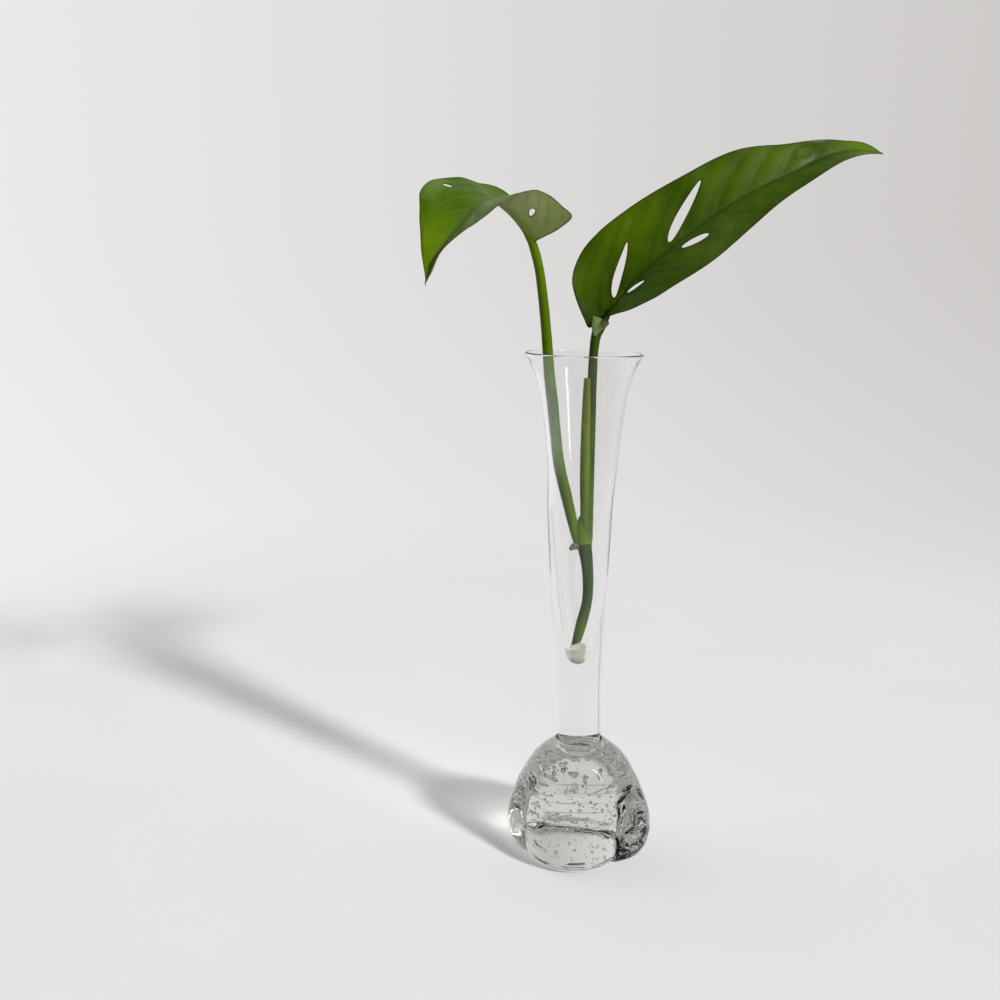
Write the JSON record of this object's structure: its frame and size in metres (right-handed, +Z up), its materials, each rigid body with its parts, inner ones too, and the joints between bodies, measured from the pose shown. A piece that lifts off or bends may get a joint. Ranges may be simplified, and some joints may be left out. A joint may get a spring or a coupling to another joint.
{
  "type": "monstera cutting in glass bud vase",
  "caption": "Cutting of a holed-leaf monstera with a drooping leaf and a raised leaf, standing in a slim clear glass bud vase with a heavy lobed bubble-glass foot.",
  "frame": {"origin": "centre of the vase's flat foot, on the surface that it stands on", "axes": "+Z up along the vase; +X towards the raised leaf's tip; the view that shows both leaves best looks along +Y"},
  "size_m": [0.1732, 0.0785, 0.2786],
  "materials": {
    "bubble_glass": "clear solid glass with many small trapped air bubbles, fire-polished",
    "clear_glass": "clear glass, fire-polished",
    "stem_skin": "smooth green bark, slightly waxy",
    "root_bark": "dry brown root skin",
    "sheath_skin": "pale yellow-green papery sheath",
    "stalk_skin": "smooth waxy green stalk",
    "leaf_blade": "glossy waxy green upper face, paler matt underside"
  },
  "bodies": {
    "root": {"vase_base": "bubble_glass", "vase_tube": "clear_glass", "stem": "stem_skin", "aerial_root": "root_bark", "leaf_sheath": "sheath_skin", "petiole_left": "stalk_skin", "petiole_right": "stalk_skin", "leaf_left": "leaf_blade", "leaf_right": "leaf_blade"}
  },
  "joints": []
}
